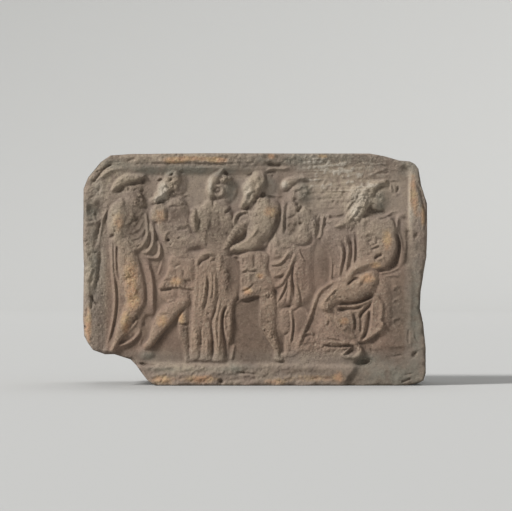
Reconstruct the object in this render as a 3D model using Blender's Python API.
"""A hearth tile: a thick brick of fired clay with a scene in low relief pressed into its front.

The tile stands on its lower edge with its picture facing -Y, +X to the picture's right and +Z up.
The scene is drawn in millimetres on a sheet as large as the front of the nominal tile, and the
sheet is then stretched to the tile's own sizes. Heights on the sheet are built up form by form:
limbs and domes, rolled sheets of cloth, then folds and hollows on top of them.
"""

import bpy
import numpy as np

# Sizes of the tile, in metres
TILE_WIDTH = 0.1380
TILE_HEIGHT = 0.0932
BODY_DEPTH = 0.0575
RIM_SIDE = 0.0080
RIM_TOP = 0.0082
RIM_FOOT = 0.0100
RIM_RISE = 0.0034
FIGURE_RISE = 0.0034
EDGE_ROUND = 0.0016
BACK_ROUND = 0.0012
SIDE_ROUGHNESS = 0.0011
RIM_UNEVENNESS = 0.00035

# Spacing of the dents: along the edges, over the rim and over the sides
EDGE_WAVE = 0.011
RIM_WAVE = 0.007
SIDE_WAVE = 0.016

# Fineness of the model
GRID_STEP = 0.0007
SIDE_RINGS = 8
FACE_COUNT = 9400

# The sheet that the scene is drawn on, in millimetres
SHEET_HALF = 69.0
SHEET_TOP = 93.2
FIELD_HALF = 61.0
FIELD_FOOT = 10.0
FIELD_TOP = 85.0
SHEET_STEP = 0.4
FULL_CREST = 4.0
WALL_SLOPE = 2.2
JOINT_FILLET = 0.6
WORN_BLUR = 0.35

# Outline of the broken front on the sheet: each edge as its height or place along the tile
FOOT_EDGE = [
    (-65, 14.3), (-60.2, 12.5), (-56.5, 12.6), (-50, 10.5), (-47.5, 8), (-45, 4.5),
    (-43, 2), (-40.5, 0.3), (-38, 0), (60, 0), (65, 0.8), (67.5, 2),
]
HEAD_EDGE = [
    (-64.5, 86.5), (-62, 89.6), (-58, 92.3), (-50, 92.9), (-20, 93.2), (46, 93.1),
    (52, 92), (58, 90.3), (62, 90), (64, 89), (65.5, 87),
]
LEFT_EDGE = [
    (14.3, -65), (17, -67), (20, -68.6), (27, -69), (48, -68.7), (58, -69),
    (79, -68.8), (83.5, -67), (86.5, -64.5),
]
RIGHT_EDGE = [
    (2, 67.5), (5, 68.5), (15, 68.5), (25, 67.5), (31, 66.2), (38, 66.5),
    (52, 68.8), (60, 69), (73, 69), (80, 66.7), (87, 65.5),
]

CLAY_COLOUR = (0.27, 0.22, 0.18, 1.0)
CLAY_ROUGHNESS = 0.95


def ease(t):
    """Rises smoothly from 0 to 1 as t does."""
    t = np.clip(t, 0.0, 1.0)
    return t * t * (3.0 - 2.0 * t)


def smooth_path(points, closed=False, step=0.5):
    """Runs a Catmull-Rom curve through rows (x, z, ...), with a sample about every step."""
    rows = np.array(points, dtype=float)
    if closed:
        rows = np.vstack([rows[-1], rows, rows[0], rows[1]])
    else:
        rows = np.vstack([2 * rows[0] - rows[1], rows, 2 * rows[-1] - rows[-2]])
    runs = []
    for a, b, c, d in zip(rows[:-3], rows[1:-2], rows[2:-1], rows[3:]):
        count = max(2, int(np.ceil(np.hypot(*(c - b)[:2]) / step)))
        t = (np.arange(count) / count)[:, None]
        bend = 2 * a - 5 * b + 4 * c - d
        twist = 3 * b - a - 3 * c + d
        runs.append(0.5 * (2 * b + (c - a) * t + bend * t ** 2 + twist * t ** 3))
    if not closed:
        runs.append(rows[-2][None])
    return np.vstack(runs)


class Relief:
    """Heights of the clay above the sunk ground, on a regular grid over the sheet, in millimetres."""

    def __init__(self):
        self.x = np.arange(-SHEET_HALF - 2, SHEET_HALF + 2, SHEET_STEP)
        self.z = np.arange(-2, SHEET_TOP + 2, SHEET_STEP)
        self.across, self.up = np.meshgrid(self.x, self.z)
        self.height = np.zeros(self.across.shape)

    def window(self, low, high):
        """The part of the grid between two corners, as slices."""
        columns = np.searchsorted(self.x, [low[0], high[0]])
        rows = np.searchsorted(self.z, [low[1], high[1]])
        return slice(*rows), slice(*columns)

    def near(self, path, reach):
        """Distance to a path, side of it (positive on its left) and place along it, 0 to 1."""
        part = self.window(path[:, :2].min(axis=0) - reach, path[:, :2].max(axis=0) + reach)
        dx = self.across[part][..., None] - path[:, 0]
        dz = self.up[part][..., None] - path[:, 1]
        square = dx ** 2 + dz ** 2
        nearest = square.argmin(axis=-1)
        pick = nearest[..., None]
        distance = np.sqrt(np.take_along_axis(square, pick, -1)[..., 0])
        heading = np.gradient(path[:, :2], axis=0)[nearest]
        dx = np.take_along_axis(dx, pick, -1)[..., 0]
        dz = np.take_along_axis(dz, pick, -1)[..., 0]
        side = heading[..., 0] * dz - heading[..., 1] * dx
        return part, distance, side, nearest / (len(path) - 1.0), nearest

    def build_up(self, part, value):
        """Raises the clay to a form where that form stands higher, with a small fillet at the joint."""
        value = value * FIGURE_RISE * 1000 / FULL_CREST
        gap = np.clip(JOINT_FILLET - np.abs(value - self.height[part]), 0, None)
        self.height[part] = np.maximum(value, self.height[part]) + gap ** 2 / (4 * JOINT_FILLET)

    def limb(self, points, crest, rise=2.4):
        """A rounded bar along rows (x, z, half width): elliptic on top, with a sloping wall below."""
        path = smooth_path(points)
        part, distance, _, _, nearest = self.near(path, path[:, 2].max() + 2)
        half = path[nearest, 2]
        share = np.clip(distance / half, 0, 1)
        wall = WALL_SLOPE * np.clip(distance - half, 0, None)
        self.build_up(part, crest - rise * (1 - np.sqrt(1 - share ** 2)) - wall)

    def dome(self, x, z, half_x, half_z, crest, rise=2.6, turn=0.0):
        """An oval dome, such as a head, a knee or a shoulder."""
        reach = max(half_x, half_z) + 2
        part = self.window((x - reach, z - reach), (x + reach, z + reach))
        c, s = np.cos(np.radians(turn)), np.sin(np.radians(turn))
        dx, dz = self.across[part] - x, self.up[part] - z
        share = np.hypot((dx * c + dz * s) / half_x, (dz * c - dx * s) / half_z)
        wall = WALL_SLOPE * np.clip(share - 1, 0, None) * min(half_x, half_z)
        top = np.sqrt(1 - np.clip(share, 0, 1) ** 2)
        self.build_up(part, crest - rise * (1 - top) - wall)

    def cloth(self, outline, crest, rise=1.8, roll=2.0):
        """A sheet inside a closed outline, rolled over at its edge."""
        edge = smooth_path(outline, closed=True)
        part, distance, _, _, _ = self.near(edge, 2)
        following = np.roll(edge, -1, axis=0)
        inside = np.zeros(distance.shape, dtype=bool)
        for (ax, az), (bx, bz) in zip(edge, following):
            spans = (az > self.up[part]) != (bz > self.up[part])
            if az != bz:
                crossing = ax + (bx - ax) * (self.up[part] - az) / (bz - az)
                inside ^= spans & (self.across[part] < crossing)
        share = 1 - np.clip(distance / roll, 0, 1)
        top = crest - rise * (1 - np.sqrt(1 - share ** 2))
        wall = crest - rise - WALL_SLOPE * distance
        self.build_up(part, np.where(inside, top, wall))

    def fold(self, points, width, height):
        """A ridge along a path, or a groove where height is negative; width may differ left and right."""
        left, right = np.broadcast_to(width, 2)
        part, distance, side, place, _ = self.near(smooth_path(points), 2.2 * max(left, right))
        spread = np.where(side > 0, left, right)
        ends = ease(place / 0.2) * ease((1 - place) / 0.2)
        self.height[part] += height * ends * np.exp(-(distance / spread) ** 2)

    def folds(self, first, last, shares, width, height):
        """Several folds that pass over from a first path to a last one, as cloth hangs."""
        first, last = np.array(first, dtype=float), np.array(last, dtype=float)
        for share in shares:
            self.fold(first + (last - first) * share, width, height)

    def hollow(self, x, z, half_x, half_z, depth, turn=0.0):
        """A soft oval hollow."""
        reach = 2.2 * max(half_x, half_z)
        part = self.window((x - reach, z - reach), (x + reach, z + reach))
        c, s = np.cos(np.radians(turn)), np.sin(np.radians(turn))
        dx, dz = self.across[part] - x, self.up[part] - z
        share = np.hypot((dx * c + dz * s) / half_x, (dz * c - dx * s) / half_z)
        self.height[part] -= depth * np.exp(-share ** 3)

    def wear(self):
        """Softens every form a little, as handling and weather do."""
        count = int(np.ceil(3 * WORN_BLUR / SHEET_STEP))
        spread = np.exp(-0.5 * (np.arange(-count, count + 1) * SHEET_STEP / WORN_BLUR) ** 2)
        spread /= spread.sum()
        for axis in (0, 1):
            self.height = np.apply_along_axis(np.convolve, axis, self.height, spread, mode="same")

    def at(self, x, z):
        """Heights at any points of the sheet, read between the grid's own points."""
        column = np.clip((x - self.x[0]) / SHEET_STEP, 0, len(self.x) - 1.001)
        row = np.clip((z - self.z[0]) / SHEET_STEP, 0, len(self.z) - 1.001)
        i, j = column.astype(int), row.astype(int)
        right, up = column - i, row - j
        lower = self.height[j, i] * (1 - right) + self.height[j, i + 1] * right
        upper = self.height[j + 1, i] * (1 - right) + self.height[j + 1, i + 1] * right
        return lower * (1 - up) + upper * up


def lay_rim(relief):
    """The raised rim: a moulding above, worn to the right, banks at the sides and a ledge below."""
    worn = ease((relief.across + 10) / 30)
    head = ease((relief.up - FIELD_TOP + 0.4 + worn) / (4.4 + 2 * worn)) * (1 - 0.25 * worn)
    left_bank = np.interp(relief.up, [12, 30, 58, 72], [-61.4, -63.2, -63.0, -61.0])
    left = 0.8 * ease((left_bank + 0.4 - relief.across) / 2.6)
    spread = 1.6 + 2.4 * ease((64 - relief.up) / 10)
    right = ease((relief.across - FIELD_HALF + 0.4) / spread)
    foot = 0.85 * ease((FIELD_FOOT - relief.up) / 1.6)
    rim = 1 - (1 - head) * (1 - left) * (1 - right) * (1 - foot)
    relief.height += RIM_RISE * 1000 * rim


def cap_and_beard(relief, brim, head, beard):
    """A bearded head turned to the right under a soft cap with a deep shadow below its brim."""
    relief.dome(*head, 3.5)
    relief.limb(beard, 3.5, 1.8)
    relief.limb(brim, 4.2, 2.0)
    below = [(x + 0.9, z - 1.9) for x, z, _ in brim[:-1]]
    relief.fold(below, 0.8, -1.0)


def cloaked_man(relief):
    """The man at the far left, wrapped in a cloak whose tail falls to the ground behind his legs."""
    tail = [(-57.8, 62), (-57.1, 34), (-57.8, 22), (-61, 13), (-58.5, 12.6), (-49.5, 18.4),
            (-45.6, 22.6), (-43.5, 27.4), (-41.4, 27.8), (-40.5, 38), (-43.5, 52), (-50, 58)]
    relief.cloth(tail, 1.9, 1.3, 1.3)
    chest = [(-53, 75.8), (-57.2, 71.8), (-59, 66.5), (-58.8, 60.5), (-54, 57.6), (-51.8, 53.6),
             (-47, 53.4), (-43.4, 56.4), (-42.6, 61), (-43.6, 71.5), (-47, 74)]
    relief.cloth(chest, 3.1, 2.2, 2.2)
    over_arm = [(-47.5, 53.6), (-42.6, 54.2), (-40.3, 57.5), (-40.2, 63.5), (-42, 66), (-43, 60)]
    relief.cloth(over_arm, 2.4, 1.6, 1.2)
    slung = [(-47, 51), (-40.8, 50.6), (-37.9, 53), (-37.8, 57.6), (-40, 58), (-42.5, 54)]
    relief.cloth(slung, 2.0, 1.4, 1.0)
    relief.hollow(-48.4, 66.0, 3.4, 4.8, 1.5)
    relief.dome(-49.3, 67.2, 1.4, 1.2, 2.9, 1.2)
    leg = [(-51.4, 55, 4.4), (-50.7, 48, 4.6), (-49.7, 41, 4.1), (-48.6, 34, 3.3), (-50.4, 28, 2.8),
           (-52.8, 24, 2.2), (-54.8, 20, 1.4), (-55.9, 17.2, 1.0), (-58, 14, 1.1)]
    relief.limb(leg, 4.0, 2.7)
    relief.dome(-48.4, 33.4, 2.5, 2.2, 4.4, 1.3)
    relief.limb([(-54.2, 74.4, 1.8), (-55.6, 70.6, 3.0), (-55.6, 66, 3.4), (-55.6, 61.6, 2.4)], 4.5, 2.5)
    relief.fold([(-52.1, 74), (-52, 70), (-52.4, 65), (-53.2, 61.5)], (0.5, 0.8), -1.1)
    relief.hollow(-57.1, 60.2, 1.0, 0.9, 1.6)
    # Folds of the tail and of the panel in front
    outer = [(-57.6, 60), (-57.3, 43), (-56.3, 33), (-57.3, 22), (-60.5, 13.5)]
    inner = [(-56.4, 60), (-56, 48), (-55.4, 43), (-54.3, 40), (-52.4, 36.5)]
    relief.fold(outer, (0.9, 0.6), 1.1)
    relief.fold([(x + 1.15, z) for x, z in outer[1:]], 0.6, -0.9)
    relief.fold(inner, (0.6, 0.9), 0.8)
    relief.fold([(-56, 16.2), (-52, 17), (-49, 19), (-46.2, 23), (-45, 27)], (0.8, 0.5), 1.2)
    relief.fold([(-53.5, 20.2), (-50, 22.8), (-47.3, 26.4)], 0.6, 0.8)
    relief.folds([(-44.8, 50.6), (-41.9, 45), (-40.9, 38), (-41.4, 29)],
                 [(-46.4, 49), (-45, 43), (-44.2, 37), (-44.4, 30)],
                 (0.0, 0.8), 0.8, 0.8)
    # Folds slung round the body, from the shoulder to the arm
    sling = [(-44.6, 72.6), (-43.3, 66), (-44.2, 58.6), (-48.5, 54.6), (-51.4, 54)]
    relief.fold(sling, (0.7, 1.0), 1.2)
    relief.folds([(-51, 61.2), (-48.6, 60.9), (-46.6, 62.2), (-45.3, 65.6)],
                 [(-52.4, 58), (-50, 57), (-47.2, 57.8), (-45, 60.6)],
                 (0.0, 1.0), (0.9, 0.5), 0.9)
    relief.fold([(-41, 64), (-40.6, 60), (-42, 55), (-43.6, 53.6)], (0.6, 0.9), 1.0)
    relief.fold([(-38.1, 57.4), (-38.2, 53.6), (-40.6, 51.2), (-44.5, 51.2)], (0.6, 0.8), 0.9)
    brim = [(-56.4, 78.2, 1.3), (-54.6, 80.8, 1.6), (-52, 82.7, 1.6), (-48.5, 83, 1.4),
            (-44.8, 82.7, 1.0)]
    beard = [(-48.8, 76.8, 2.4), (-47.6, 74.2, 2.0), (-46.4, 71.8, 1.5)]
    cap_and_beard(relief, brim, (-49.4, 78.9, 4.4, 4.9), beard)


def soldier_legs(relief, thigh, shin, crest, garter):
    """A leg of a man in a kilt: thigh, then a boot that ends in a ridge below the knee."""
    relief.limb(thigh, crest, 2.5)
    relief.limb(shin, crest, 2.5)
    relief.fold(garter, 0.6, 0.8)


def kilt(relief, outline, crest, hem_left, hem_right, band_rise):
    """A short kilt with a band above its hem and tongues of leather along it."""
    relief.cloth(outline, crest, 2.2, 1.6)
    left, right = np.array(hem_left, dtype=float), np.array(hem_right, dtype=float)
    middle = (left + right) / 2
    band = [left + (0, band_rise), middle + (0, band_rise + 0.9), right + (0, band_rise)]
    relief.fold(band, 0.5, 0.6)
    for share in np.linspace(0.08, 0.92, 6):
        foot = left + (right - left) * share
        relief.fold([foot, foot + (0.1, 1.5), foot + (0.2, 3.2)], 0.5, -0.5)


def first_soldier(relief):
    """The soldier who leads the woman by the wrist and looks back to the left."""
    thigh = [(-27.3, 39, 2.9), (-28, 32, 2.5), (-28.2, 26, 2.1)]
    shin = [(-28.4, 25, 2.2), (-28.6, 22, 2.0), (-28.2, 17, 1.5), (-27.2, 12.4, 1.1),
            (-26.8, 10.4, 1.4)]
    soldier_legs(relief, thigh, shin, 2.8, [(-30.4, 25.6), (-28.4, 25.1), (-26.3, 25.8)])
    thigh = [(-31.2, 37, 4.3), (-33.6, 31.8, 3.9), (-35.6, 28.4, 3.3)]
    shin = [(-35.4, 28.6, 3.3), (-38.4, 22.6, 2.5), (-40.8, 18.4, 1.7), (-42.8, 15.6, 1.5),
            (-45.8, 13.6, 1.6)]
    soldier_legs(relief, thigh, shin, 3.9, [(-39.2, 30), (-36, 28.8), (-32.4, 29.2)])
    torso = [(-35, 75.6), (-40.2, 73.2), (-42, 69), (-40.9, 64), (-38.4, 59), (-36.3, 55), (-34.4, 50.2),
             (-29, 49.4), (-25.6, 51), (-24.9, 58), (-25.3, 66), (-26.8, 72.5), (-30.5, 76.2)]
    relief.cloth(torso, 3.3, 2.0, 2.8)
    relief.hollow(-31.3, 68.2, 3.6, 3.6, 0.9)
    relief.dome(-38.4, 68.6, 3.4, 4.1, 4.5, 2.4, 10)
    relief.fold([(-40.4, 72.4), (-38, 71.8), (-35.6, 72.8), (-33, 75)], 0.6, -0.8)
    relief.fold([(-31, 63.9), (-29.6, 64.5), (-28.4, 64.2), (-27, 64.8)], 0.5, 0.7)
    relief.fold([(-30.6, 62.5), (-28.9, 62.3), (-27, 62.9)], 0.5, -0.7)
    skirt = [(-34.5, 50), (-35.5, 47), (-38.5, 41), (-38.9, 38.6), (-34, 39.1), (-29, 39.3),
             (-24.4, 38.2), (-24.9, 44), (-25.6, 50.5)]
    kilt(relief, skirt, 3.6, (-38.4, 38.8), (-25, 38.4), 3.0)
    relief.fold([(-35, 48.4), (-31.5, 48), (-25.8, 48.6)], 0.6, 0.6)
    relief.cloth([(-28.2, 48.2), (-25.4, 48.2), (-25.4, 42.4), (-28.2, 42.4)], 3.9, 0.6, 0.6)
    relief.limb([(-38.4, 65.6, 2.0), (-37.2, 62, 1.9), (-35.6, 59.2, 2.1)], 3.7, 2.0)
    relief.limb([(-35.8, 58.9, 1.9), (-31, 57.9, 2.1), (-26, 57.3, 2.0), (-20.6, 57, 1.7)], 3.9, 2.2)
    relief.limb([(-35.4, 79.2, 2.4), (-38, 76.6, 2.1), (-40.8, 73.8, 1.5)], 3.7, 1.9)
    relief.dome(-31.6, 81.3, 4.7, 4.9, 4.2, 3.0)
    relief.dome(-35.2, 80.6, 2.4, 2.7, 3.8, 1.9)
    relief.fold([(-31.4, 77.2), (-33, 76.4), (-36, 74.7), (-40.2, 72.4)], 0.8, -1.1)
    relief.hollow(-33.3, 84.4, 0.9, 0.9, 1.1)


def woman(relief):
    """The woman led away, seen from behind, in a long pleated skirt."""
    skirt = [(-22.6, 50.4), (-24, 42), (-24.3, 35), (-25.5, 19), (-25.9, 10), (-19, 9.4),
             (-12.4, 9.6), (-11.9, 15), (-9, 22), (-7.1, 28), (-6.4, 42), (-6.9, 49), (-12, 52.5)]
    relief.cloth(skirt, 2.8, 2.0, 1.8)
    leg = [(-9.6, 36, 2.8), (-10, 30, 2.5), (-10.2, 25, 2.4), (-9.9, 20, 1.8), (-9.7, 15, 1.2),
           (-10, 9.8, 1.3)]
    relief.limb(leg, 3.1, 1.9)
    back = [(-18.6, 75.2), (-22.8, 73.6), (-26, 70.4), (-25.5, 65), (-23.2, 54), (-22.6, 50.4),
            (-12, 50.4), (-8.2, 53), (-8.8, 60), (-9, 67), (-10.4, 71.6), (-14, 75)]
    relief.cloth(back, 3.1, 2.1, 2.2)
    relief.dome(-11, 65, 2.7, 4.5, 4.0, 2.0, 8)
    relief.fold([(-26.2, 69.6), (-25.2, 66.5), (-24.2, 62.6), (-23.4, 59.6)], (0.6, 0.9), 0.9)
    relief.fold([(-22.8, 68.4), (-22.7, 65), (-22.4, 60.4)], 0.6, -0.8)
    relief.fold([(-14.6, 70.6), (-14.9, 67), (-14.1, 62.4)], 0.6, -0.9)
    relief.fold([(-23.4, 47.4), (-23.4, 50), (-21.8, 52.2), (-19, 53), (-15.6, 52.6)], (0.7, 0.9), 0.9)
    relief.fold([(-22.2, 48.4), (-21.4, 50), (-19.6, 51.2), (-17.4, 51.5)], 0.6, -0.8)
    # Pleats that spread a little from the waist to the hem
    upper_left = [(-23.2, 47), (-23.8, 40), (-24.4, 32), (-25, 22), (-25.4, 11)]
    upper_right = [(-15.6, 46), (-15.2, 38), (-15.4, 31), (-16, 22), (-16, 11)]
    relief.folds(upper_left, upper_right, (0.03, 0.34, 0.66, 0.98), (0.6, 0.8), 0.9)
    relief.folds(upper_left, upper_right, (0.18, 0.5, 0.84), 0.6, -0.9)
    relief.folds([(-13.3, 35), (-14.3, 28), (-14.5, 20), (-14.5, 10)],
                 [(-11.5, 33.6), (-13.2, 29), (-13.8, 25), (-13.6, 20)],
                 (0.0, 1.0), 0.55, 0.8)
    relief.fold([(-11.2, 32), (-12.6, 28.5), (-12.8, 22), (-11.8, 15), (-12, 10)], 0.6, -1.1)
    relief.hollow(-19.5, 27.4, 2.6, 1.6, 0.7)
    # The head, turned away, with a coil of plaits
    relief.dome(-13.1, 79.4, 5.4, 6.4, 4.2, 3.2)
    plait = [(-12.8, 86.4, 1.0), (-15.6, 84.6, 1.4), (-17.7, 82, 1.5), (-18.8, 79, 1.4),
             (-18.7, 76, 1.1)]
    relief.limb(plait, 4.3, 1.8)
    turn = np.linspace(0, 1.75 * np.pi, 9)
    relief.fold(np.column_stack([-15 + 2.4 * np.cos(turn), 78.4 + 2.4 * np.sin(turn)]), 0.7, 0.9)
    relief.dome(-15, 78.4, 1.0, 1.0, 4.6, 1.2)
    relief.fold([(-18.4, 75.1), (-16.5, 74.8), (-14.4, 75.1)], 0.7, -1.0)
    relief.fold([(-12.4, 85.2), (-15, 83.2), (-17.3, 79)], 0.6, -0.9)


def second_soldier(relief):
    """The soldier behind her, who holds her arm and strides to the right."""
    thigh = [(0.6, 37, 4.6), (3, 32.4, 3.7), (4.6, 28, 2.8), (4.9, 26, 2.6)]
    shin = [(4.9, 26, 2.7), (5.3, 24, 2.6), (6.3, 20.4, 2.0), (7.8, 16.2, 1.5), (9.2, 12.6, 1.6),
            (12.6, 11, 1.0)]
    soldier_legs(relief, thigh, shin, 3.8, [(2.2, 26.6), (4.4, 25.6), (7.6, 26.2)])
    relief.dome(4, 31, 2.6, 2.4, 4.2, 1.5, -20)
    skirt = [(-5, 62), (-6.4, 50), (-6.5, 38), (-6.3, 34), (-2, 34.9), (5, 36), (7.6, 37),
             (7, 42), (5.2, 47), (5.2, 53), (5.4, 60)]
    kilt(relief, skirt, 3.2, (-5.9, 34.6), (4.6, 36), 4.0)
    relief.fold([(-5.8, 44.6), (-3, 46.6), (-2.2, 45.8), (-0.6, 46.2), (0.8, 46.6)], 0.5, 0.8)
    relief.folds([(-9.2, 51), (-6.6, 51.4), (-4, 50.8)],
                 [(-9.2, 52.5), (-6.6, 52.7), (-4.4, 52.2)],
                 (0, 1), 0.5, 0.7)
    relief.hollow(-7.2, 48.8, 1.8, 0.9, 1.0)
    torso = [(1.4, 75.4), (-2.4, 72.4), (-3, 66), (-2.6, 60), (-1.2, 56), (5.4, 55), (6.8, 61),
             (9.4, 66), (10.3, 70.4), (9.2, 73.8), (5.4, 75.8)]
    relief.cloth(torso, 3.0, 2.0, 2.0)
    upper_arm = [(5, 74.2, 3.2), (5.4, 70.2, 4.6), (4.7, 65.6, 4.0), (3.6, 61.2, 3.0),
                 (1.8, 58.4, 2.4)]
    relief.limb(upper_arm, 4.4, 2.9)
    forearm = [(2.8, 59.6, 2.4), (-0.6, 57.6, 2.3), (-4.6, 55.6, 1.9), (-8.6, 54.4, 1.5)]
    relief.limb(forearm, 4.0, 2.4)
    relief.fold([(1.4, 64.4), (-2.8, 58.8), (-8, 56.7)], (0.6, 0.8), 0.7)
    # Her bent arm in its twisted sleeve, and his fingers on it
    fingers = [(-3.4, 70.2, 0.9), (-6.2, 69.8, 1.1), (-7.8, 68, 1.1), (-8.2, 65.4, 1.0),
               (-7.9, 63, 0.9)]
    relief.limb(fingers, 3.5, 2.0)
    sleeve = [(-3.4, 66.4, 1.2), (-6, 64, 1.7), (-8.2, 61.4, 1.9), (-9.9, 58.8, 1.7),
              (-11.6, 56.4, 1.4)]
    relief.limb(sleeve, 3.8, 2.2)
    relief.folds([(-6.3, 65.6), (-5, 64.8), (-3.8, 64.5)], [(-11.2, 58.8), (-9.9, 58), (-8.7, 57.7)],
                 np.linspace(0, 1, 5), 0.5, -0.6)
    relief.fold([(3.9, 77.2), (6, 75.9), (9, 75.7), (12, 75.4)], (0.6, 0.7), 0.8)
    relief.hollow(3.2, 76.4, 1.1, 1.1, 1.8)
    relief.limb([(-1.6, 79.4, 2.4), (-3.6, 76, 2.1), (-5.6, 72.8, 1.3)], 3.6, 2.0)
    relief.dome(1.9, 81, 4.6, 5.2, 4.1, 3.0)
    relief.dome(-2, 80.6, 2.6, 3.0, 3.8, 2.2)
    relief.fold([(-5.4, 71.2), (-1.2, 73.2), (0.6, 75), (1.2, 77)], 0.8, -1.2)


def thoughtful_man(relief):
    """The cloaked man who holds his chin, with folds that fan out below his elbow."""
    cloak = [(12.6, 76), (10.3, 73), (10.4, 66), (8.2, 61.6), (5.8, 58), (4.6, 53), (4.6, 43),
             (5.4, 39.6), (9, 36), (9, 31), (12, 31.2), (17, 30.6), (20.8, 35.6), (24.1, 37),
             (24.3, 41), (23, 47), (21.6, 52), (24.4, 57), (25.4, 63), (25, 70), (22, 71.8),
             (17, 72.6)]
    relief.cloth(cloak, 2.5, 1.8, 1.8)
    leg = [(11.8, 31, 2.1), (12, 26, 1.9), (12, 21, 1.4), (12, 16, 1.0), (12.4, 12, 1.3)]
    relief.limb(leg, 2.2, 1.6)
    far_leg = [(14.2, 31), (14.3, 20), (14.2, 14), (16.4, 12.6), (17.4, 20), (18.8, 31)]
    relief.cloth(far_leg, 1.6, 1.0, 1.0)
    relief.fold([(14.4, 30.6), (14.8, 25), (14.9, 21), (14.3, 16.6)], 0.6, 0.7)
    relief.hollow(14.8, 64.4, 2.8, 4.6, 1.3)
    relief.fold([(12.2, 75.6), (11, 73), (10.8, 69), (11.2, 61)], (0.8, 0.5), 0.7)
    relief.fold([(13.2, 74), (12.3, 70), (12, 66), (12.4, 60.4)], 0.6, -1.1)
    relief.limb([(10.6, 58.8, 1.5), (14, 58.6, 1.9), (18, 58.4, 2.1), (21.4, 58.8, 2.0)], 3.5, 2.0)
    relief.limb([(21.6, 59, 2.0), (20.2, 61.6, 1.8), (19.2, 64.4, 1.6), (18.6, 67, 1.7)], 3.8, 2.2)
    relief.dome(18.6, 67.4, 2.1, 2.0, 3.9, 1.8)
    relief.fold([(13, 56.2), (16.5, 56), (19.5, 56.2), (22.6, 57.4), (23.6, 60)], 0.8, -1.0)
    # Folds from the gathering point, bowed outwards: foot of each fold and how far it bows
    gather = np.array([16.6, 54.8])
    feet = [((6.2, 39.7), 2.2), ((5.6, 49), 2.0), ((9.2, 31.4), 1.6), ((13.1, 32), 0.6),
            ((17.9, 33), 0.2), ((20.6, 34), -1.0)]
    for foot, bow in feet:
        foot = np.array(foot)
        middle = (gather + foot) / 2 + (0.45 * bow, -0.9 * abs(bow))
        above = (gather + middle) / 2 + (0.1 * bow, 0)
        below = (middle + foot) / 2 - (0, 0.5 * abs(bow))
        relief.fold([gather, above, middle, below, foot], (0.6, 0.9), 1.1)
    relief.fold([(15.2, 48), (15.1, 42), (15.7, 35)], 0.6, -1.1)
    relief.fold([(16.8, 42), (18.1, 37), (18.6, 32.6)], 0.5, -0.8)
    relief.fold([(11.3, 45.5), (9.5, 44.3), (7.4, 44.2)], 0.6, 0.8)
    brim = [(11.2, 79, 1.5), (12.4, 81.6, 2.0), (15, 83.4, 2.1), (18.6, 83.8, 1.7), (21.4, 83, 1.2)]
    beard = [(15.8, 76.4, 2.2), (16.2, 74.2, 1.9), (17, 71.8, 1.4)]
    cap_and_beard(relief, brim, (16.8, 78, 4.6, 4.9), beard)


def throne(relief):
    """The seat, with its side panel, the edge of its cushion and its narrow back."""
    side = [(49.5, 46), (54, 46.4), (59.6, 48.6), (60.6, 47), (60.6, 16), (51, 14.6), (50, 17),
            (51.6, 24.5), (51.6, 31), (49.4, 36)]
    relief.cloth(side, 1.9, 1.2, 0.9)
    relief.folds([(48.5, 45.3), (52, 45.1), (56, 46.3), (59.4, 48.2)],
                 [(51.5, 43.8), (55, 44.2), (57, 44.3), (58.4, 44.3)],
                 (0, 1), 0.6, 0.8)
    back = [(55.5, 69), (58, 69.6), (59.8, 69.2), (60.2, 60), (59.8, 50), (57, 48.4), (57.6, 60),
            (57.2, 65)]
    relief.cloth(back, 1.5, 1.0, 1.0)


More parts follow.
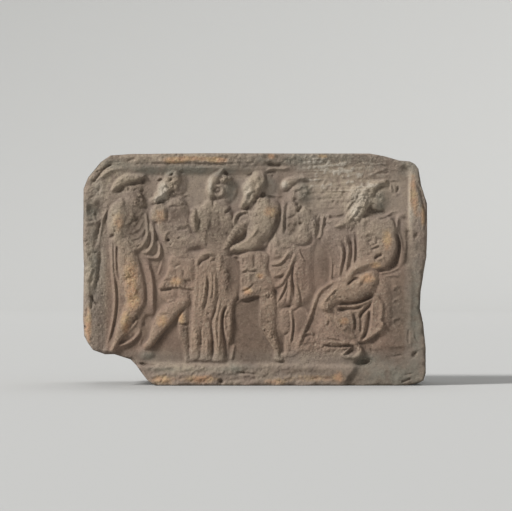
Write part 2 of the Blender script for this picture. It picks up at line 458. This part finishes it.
def seated_king(relief):
    """The bearded judge on the throne, one arm raised with a staff and his gown over his knees."""
    body = [(46, 70.4), (49, 68), (53.4, 68.6), (55.4, 66.4), (57, 61), (57.6, 55), (56, 48.4),
            (50, 46), (44, 44), (39.5, 46), (40.2, 52), (40.2, 60), (35, 61.5), (32.2, 63),
            (37, 66), (42, 67)]
    relief.cloth(body, 3.2, 2.1, 2.6)
    upper_arm = [(52.2, 66, 3.0), (54, 62, 3.5), (54.2, 57, 3.6), (53, 52, 3.4), (50.6, 48.6, 2.8)]
    relief.limb(upper_arm, 4.4, 2.8)
    forearm = [(51.6, 49.6, 2.6), (47.6, 48.2, 2.3), (44, 46.4, 2.0), (41.4, 44, 1.8)]
    relief.limb(forearm, 4.2, 2.4)
    raised_arm = [(40.6, 61.6, 2.4), (37, 62.4, 2.2), (33.6, 64.2, 1.7), (30.8, 65.6, 1.4),
                  (28.4, 67.2, 1.7)]
    relief.limb(raised_arm, 3.5, 2.2)
    relief.fold([(27, 67), (26.6, 64), (26.2, 62), (25.6, 60), (25, 58.4)], 0.8, 1.8)
    sleeve = [(26.6, 59.6), (28.8, 60.6), (33, 62.6), (38.6, 61.6), (40.6, 56), (40.4, 46), (36, 43),
              (30.4, 41.6), (30.2, 51), (28.6, 55)]
    relief.cloth(sleeve, 1.9, 1.3, 1.0)
    relief.fold([(26.4, 59), (28.5, 55), (30, 51.2), (30.3, 41.6)], (0.6, 0.9), 0.8)
    relief.folds([(34.1, 52), (34.2, 48), (33.7, 43.6)], [(39, 57), (39.2, 52), (38.6, 46.6)],
                 (0, 0.5, 1), 0.6, 0.8)
    relief.folds([(35.6, 53), (35.4, 49), (35, 44.6)], [(40.7, 62), (40.6, 54), (40, 48)],
                 (0, 0.5, 1), 0.6, -0.9)
    # Gown over both legs, and the drapery that hangs behind the shin
    gown = [(50.4, 50), (45, 48.8), (38, 44.6), (30, 41.2), (26.4, 39), (24.1, 36.2), (21.8, 29),
            (18.1, 20.5), (14.8, 12.2), (20, 11.4), (30, 11.6), (40, 15), (46, 17.6), (51.6, 25),
            (51.2, 30), (49.6, 35), (49, 42)]
    relief.cloth(gown, 2.2, 1.7, 1.4)
    thigh = [(47.6, 43.6, 4.6), (41.6, 42, 4.8), (35, 38.4, 4.4), (29.8, 34.6, 3.6),
             (28.4, 31.6, 2.6)]
    relief.limb(thigh, 4.6, 2.9)
    shin = [(28.6, 33, 3.0), (30.6, 28.6, 2.8), (33.6, 24.6, 2.6), (37.4, 20.4, 1.8),
            (40.4, 17.2, 1.3)]
    relief.limb(shin, 3.8, 2.3)
    far_leg = [(43.6, 46.6, 2.0), (37, 43.4, 2.2), (30.6, 40, 2.2), (26, 36.8, 2.2),
               (23.8, 31, 1.9), (21.4, 25.6, 1.5), (18.6, 19.6, 1.2), (16, 14, 1.0)]
    relief.limb(far_leg, 3.5, 2.0)
    relief.fold([(33.4, 39.8), (30.5, 37.2), (28.5, 35.2), (26.6, 31.6)], (0.6, 0.9), 0.7)
    relief.fold([(37, 40.4), (39.4, 42.5), (41.6, 42.8)], 0.8, -1.3)
    relief.dome(45.6, 43.4, 2.6, 2.4, 4.8, 1.3)
    relief.fold([(34, 33), (38.5, 33), (43.5, 34.2), (48, 36.2)], 1.0, -1.6)
    relief.fold([(34, 31.6), (38, 31.6), (42, 32.3), (46, 34)], 0.5, 1.0)
    relief.fold([(34, 30.2), (36.5, 30.2), (40, 30.8), (42.4, 31.4)], 0.8, -1.1)
    hem = [(48.8, 37.2), (51.1, 32), (50.6, 26), (51.2, 24.2), (48, 20.1), (42.3, 17.8)]
    relief.fold(hem, (1.0, 0.6), 1.4)
    relief.folds([(38.6, 30.6), (39.8, 25.8), (40, 21)], [(47, 32), (44.3, 25), (42.6, 18.6)],
                 (0, 1), 0.8, -1.1)
    relief.folds([(41, 30.4), (42.2, 26), (42.4, 20)], [(46.6, 31), (45.9, 27), (44.6, 19.4)],
                 (0, 1), 0.7, 0.9)
    relief.fold([(27.4, 16), (33, 15.6), (38.6, 16.4)], 0.7, -1.3)
    relief.folds([(28, 20), (33, 19.6), (39, 18.4)], [(28, 18), (33, 18), (39, 17.3)], (0, 1), 0.5, 0.7)
    foot = [(40.6, 17, 1.2), (42, 15, 1.4), (42, 13.2, 1.4), (39.6, 11.9, 1.0), (35.4, 11.6, 0.8)]
    relief.limb(foot, 3.9, 2.2)
    relief.limb([(39.4, 16, 0.9), (37, 13.9, 0.9), (34.6, 11.6, 0.8)], 3.7, 1.8)
    # Collar, back of the seat and the deep gap behind the arm
    relief.fold([(47.8, 67.6), (51, 67.4), (53.4, 69), (56, 69.8), (60, 69.2)], 0.6, 0.9)
    relief.fold([(58.4, 69), (57.2, 64.6), (57.8, 60), (59.2, 57)], 0.6, 1.0)
    relief.fold([(60, 68), (59.6, 64), (59.4, 60)], 0.9, -1.1)
    relief.fold([(56.2, 62.4), (57.8, 58.6), (57.7, 54), (56.4, 50), (54.6, 48.2)], 1.0, -1.9)
    # Head with its hat, and the long beard that falls towards the raised arm
    relief.dome(47.4, 75.6, 5.0, 5.2, 3.7, 2.7)
    beard = [(44.4, 75, 2.5), (41.4, 71.2, 2.6), (38, 68, 2.3), (35, 65.6, 1.5), (32.4, 64, 0.9)]
    relief.limb(beard, 3.9, 2.2)
    brim = [(39.6, 77.6, 1.4), (42.6, 78.2, 2.0), (46, 79.2, 1.9), (48.6, 81.2, 1.5),
            (52.4, 82.1, 1.0)]
    relief.limb(brim, 4.4, 2.2)
    relief.fold([(51.6, 69.8), (46, 70.8), (42, 66.6), (39, 64.4), (35, 62.8)], 0.9, -1.4)
    relief.fold([(49.6, 80.4), (51, 77.6), (50.8, 72.4)], 1.0, -1.3)
    relief.folds([(44.4, 76), (41, 72.4), (37.2, 68.4)], [(43.4, 73), (40.2, 69.2), (36.6, 66)],
                 (0, 0.5, 1), 0.5, -0.5)
    relief.fold([(41, 74.2), (38.8, 72.6), (37.4, 70.6), (36.4, 68.6)], 0.6, 0.8)
    relief.fold([(54.4, 77.6), (54.4, 79.6), (55, 82), (59.6, 81.8)], 0.6, 0.7)


def breaks_and_cracks(relief):
    """Chips, cracks and worn hollows of the rim and the ledge."""
    relief.hollow(8.5, 88.4, 2.6, 1.2, 1.9)
    relief.hollow(60.6, 87.6, 5.0, 3.2, 2.2, 15)
    relief.fold([(45, 92), (53, 89.5), (56, 87), (61, 84)], 0.8, 0.6)
    relief.fold([(47, 84.5), (50.4, 86.4), (53.5, 88)], (0.7, 1.2), 0.8)
    relief.hollow(-56.5, 88, 5.5, 3.0, 1.6, -10)
    relief.fold([(-66, 82), (-62, 85), (-58, 88.5), (-56.5, 89.3)], 0.6, -1.2)
    relief.hollow(-64.5, 69.5, 4.0, 3.4, 1.6)
    relief.fold([(-59.4, 72.4), (-62, 65), (-62.5, 60), (-64, 55)], 0.6, 0.7)
    relief.fold([(61.4, 84.6), (61.6, 78), (61.4, 70), (61.6, 62)], (0.7, 1.1), 0.7)
    relief.fold([(66.6, 78), (66.6, 74), (68.2, 67), (68, 60)], 0.7, -1.1)
    relief.fold([(-47.4, 8.2), (-43.6, 8.8), (-39.6, 8.6)], 0.7, -1.3)
    relief.hollow(-14.5, 1.5, 1.0, 1.0, 1.6)
    relief.fold([(38.6, 10), (36.4, 6), (33.4, 1)], (1.1, 0.6), 0.8)
    relief.hollow(43.6, 9.6, 4.6, 1.9, 1.8)
    relief.hollow(48, 4.8, 11.0, 4.6, 0.8)


def model_relief():
    """The whole front, from the ground up: people at the back first."""
    relief = Relief()
    lay_rim(relief)
    throne(relief)
    thoughtful_man(relief)
    second_soldier(relief)
    first_soldier(relief)
    woman(relief)
    cloaked_man(relief)
    seated_king(relief)
    breaks_and_cracks(relief)
    relief.wear()
    return relief


def waves(points, size, seed):
    """Smooth unevenness between about -1 and 1: waves of about one size, running many ways."""
    source = np.random.default_rng(seed)
    headings = source.normal(size=(14, 3))
    headings /= np.linalg.norm(headings, axis=1)[:, None]
    lengths = size * source.uniform(0.7, 1.5, 14)
    starts = source.uniform(0, 2 * np.pi, 14)
    phase = 2 * np.pi * (points @ headings.T) / lengths + starts
    return np.sin(phase).sum(axis=1) / np.sqrt(14)


def front_sheet(columns, rows):
    """A grid over the broken outline: each edge is followed, and the inside is blended between them."""
    across = np.linspace(0, 1, columns + 1)[None, :, None]
    up = np.linspace(0, 1, rows + 1)[:, None, None]

    def along_x(edge):
        places, heights = np.array(edge, dtype=float).T
        x = np.linspace(places[0], places[-1], columns + 1)
        return np.column_stack([x, np.interp(x, places, heights)])

    def along_z(edge):
        heights, places = np.array(edge, dtype=float).T
        z = np.linspace(heights[0], heights[-1], rows + 1)
        return np.column_stack([np.interp(z, heights, places), z])

    foot, head = along_x(FOOT_EDGE), along_x(HEAD_EDGE)
    left, right = along_z(LEFT_EDGE), along_z(RIGHT_EDGE)
    rows_blend = (1 - up) * foot[None] + up * head[None]
    columns_blend = (1 - across) * left[:, None] + across * right[:, None]
    low = (1 - across) * foot[0] + across * foot[-1]
    high = (1 - across) * head[0] + across * head[-1]
    return rows_blend + columns_blend - (1 - up) * low - up * high


def loop_around(grid):
    """The border of a grid of points, anticlockwise from its lower left corner."""
    return np.concatenate([grid[0, :-1], grid[:-1, -1], grid[-1, :0:-1], grid[:0:-1, 0]])


def to_tile(sheet):
    """Stretches the sheet to the tile: rims keep their own widths, and the field takes the rest."""
    half = TILE_WIDTH / 2
    x = np.interp(sheet[..., 0], [-SHEET_HALF, -FIELD_HALF, FIELD_HALF, SHEET_HALF],
                  [-half, RIM_SIDE - half, half - RIM_SIDE, half])
    z = np.interp(sheet[..., 1], [0, FIELD_FOOT, FIELD_TOP, SHEET_TOP],
                  [0, RIM_FOOT, TILE_HEIGHT - RIM_TOP, TILE_HEIGHT])
    return x, z


def tile_points(columns, rows):
    """Points of the front grid and of the rings that run round the body to its back."""
    sheet = front_sheet(columns, rows)
    x, z = to_tile(sheet)
    height = 0.001 * model_relief().at(sheet[..., 0], sheet[..., 1])
    flat = np.stack([x, np.zeros_like(x), z], axis=-1)
    border = loop_around(flat)
    spot = flat.reshape(-1, 3)
    gap = np.full(len(spot), 1.0)
    for point in border:
        gap = np.minimum(gap, np.linalg.norm(spot - point, axis=1))
    gap = gap.reshape(x.shape)
    uneven = waves(spot, EDGE_WAVE, 3).reshape(x.shape)
    on_rim = ease(1 - gap / RIM_SIDE)
    radius = EDGE_ROUND * (1 + 0.45 * uneven)
    bank = 1 - np.clip(gap / radius, 0, 1)
    height += RIM_UNEVENNESS * on_rim * waves(spot, RIM_WAVE, 5).reshape(x.shape)
    height -= radius * (1 - np.sqrt(1 - bank ** 2))
    front = np.stack([x, -BODY_DEPTH / 2 - height, z], axis=-1)

    edge = loop_around(front)
    ahead = np.roll(edge, -2, axis=0) - np.roll(edge, 2, axis=0)
    inward = np.stack([-ahead[:, 2], np.zeros(len(edge)), ahead[:, 0]], axis=-1)
    inward /= np.linalg.norm(inward, axis=1)[:, None]
    rests = edge[:, 2] < 1e-6
    rings = []
    for share in np.linspace(0, 1, SIDE_RINGS + 1)[1:]:
        ring = edge.copy()
        ring[:, 1] += (BODY_DEPTH / 2 - BACK_ROUND - edge[:, 1]) * share
        dent = SIDE_ROUGHNESS * np.clip(0.5 + 0.5 * waves(ring, SIDE_WAVE, 8), 0, None) * ease(3 * share)
        dent[rests] = 0
        rings.append(ring + inward * dent[:, None])
    back = rings[-1] + inward * BACK_ROUND
    back[:, 1] = BODY_DEPTH / 2
    rings.append(back)
    return front, rings


def build_tile():
    """Joins the front, the sides and the back into one closed body."""
    columns, rows = round(TILE_WIDTH / GRID_STEP), round(TILE_HEIGHT / GRID_STEP)
    front, rings = tile_points(columns, rows)
    number = np.arange((columns + 1) * (rows + 1)).reshape(rows + 1, columns + 1)
    around = loop_around(number)
    points = np.vstack([front.reshape(-1, 3)] + rings)
    shift = (points[:, :2].max(axis=0) + points[:, :2].min(axis=0)) / 2
    points[:, :2] -= shift

    faces = np.stack([number[:-1, :-1], number[:-1, 1:], number[1:, 1:], number[1:, :-1]], axis=-1)
    faces = faces.reshape(-1, 4).tolist()
    before = around
    for place in range(len(rings)):
        behind = number.size + place * len(around) + np.arange(len(around))
        side = [before, behind, np.roll(behind, -1), np.roll(before, -1)]
        faces += np.stack(side, axis=-1).tolist()
        before = behind
    faces.append(before[::-1].tolist())

    mesh = bpy.data.meshes.new("hearth_tile")
    mesh.from_pydata(points.tolist(), [], faces)
    mesh.validate()
    mesh.shade_smooth()
    tile = bpy.data.objects.new("hearth_tile", mesh)
    bpy.context.scene.collection.objects.link(tile)
    triangles = sum(len(face) - 2 for face in faces)
    thin = tile.modifiers.new("Fewer faces where the clay is flat", "DECIMATE")
    thin.ratio = min(1.0, FACE_COUNT / triangles)
    thin.use_collapse_triangulate = True
    return tile


def fired_clay():
    """Grey-brown earthenware, unglazed."""
    material = bpy.data.materials.new("fired_clay")
    material.use_nodes = True
    shader = material.node_tree.nodes["Principled BSDF"]
    shader.inputs["Base Color"].default_value = CLAY_COLOUR
    shader.inputs["Roughness"].default_value = CLAY_ROUGHNESS
    shader.inputs["Metallic"].default_value = 0.0
    return material


def main():
    for thing in list(bpy.data.objects):
        bpy.data.objects.remove(thing)
    build_tile().data.materials.append(fired_clay())


main()
